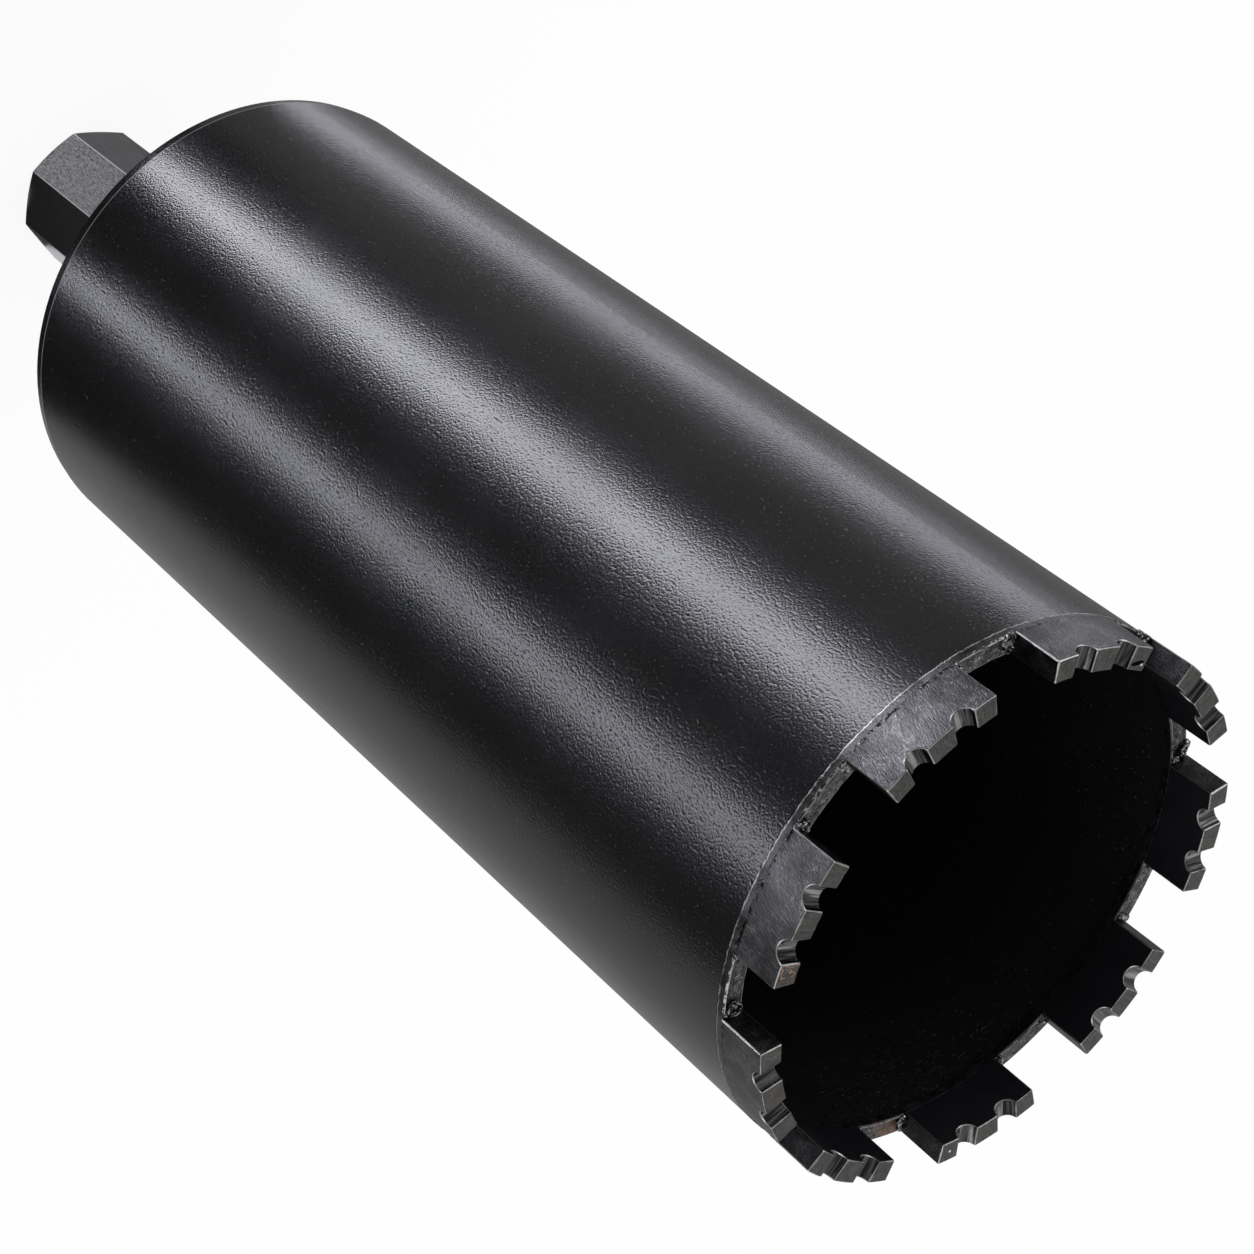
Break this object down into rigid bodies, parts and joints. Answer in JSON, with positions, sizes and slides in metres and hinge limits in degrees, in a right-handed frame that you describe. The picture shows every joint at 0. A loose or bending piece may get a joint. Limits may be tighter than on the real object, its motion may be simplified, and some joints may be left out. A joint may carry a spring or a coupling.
{
  "type": "diamond core bit",
  "caption": "Core bit that cuts round holes in masonry: an open painted steel barrel with notched diamond segments on its bare front rim, and an eight-sided hub with an internal thread.",
  "frame": {"origin": "centre of the hub's end face, which the bit stands on", "axes": "+Z along the bit's axis, from the hub to the cutting end; +X through the middle of segment_1"},
  "size_m": [0.1067, 0.107, 0.321],
  "materials": {
    "barrel_paint": "black semi-gloss powder coat with a fine pebbled texture",
    "bare_steel": "bare turned steel, darkened by heat",
    "hub_steel": "blackened steel, satin",
    "weld": "rippled weld, blackened",
    "segment": "sintered metal, satin, scratched, with brighter worn edges",
    "braze": "solidified braze, lumpy and half bright"
  },
  "bodies": {
    "root": {"barrel": "barrel_paint", "back_plate": "barrel_paint", "crown_ring": "bare_steel", "hub": "hub_steel", "hub_weld": "weld", "segment_1": "segment", "segment_2": "segment", "segment_3": "segment", "segment_4": "segment", "segment_5": "segment", "segment_6": "segment", "segment_7": "segment", "segment_8": "segment", "segment_9": "segment", "braze_1": "braze", "braze_2": "braze", "braze_3": "braze", "braze_4": "braze", "braze_5": "braze", "braze_6": "braze", "braze_7": "braze", "braze_8": "braze", "braze_9": "braze"}
  },
  "joints": []
}
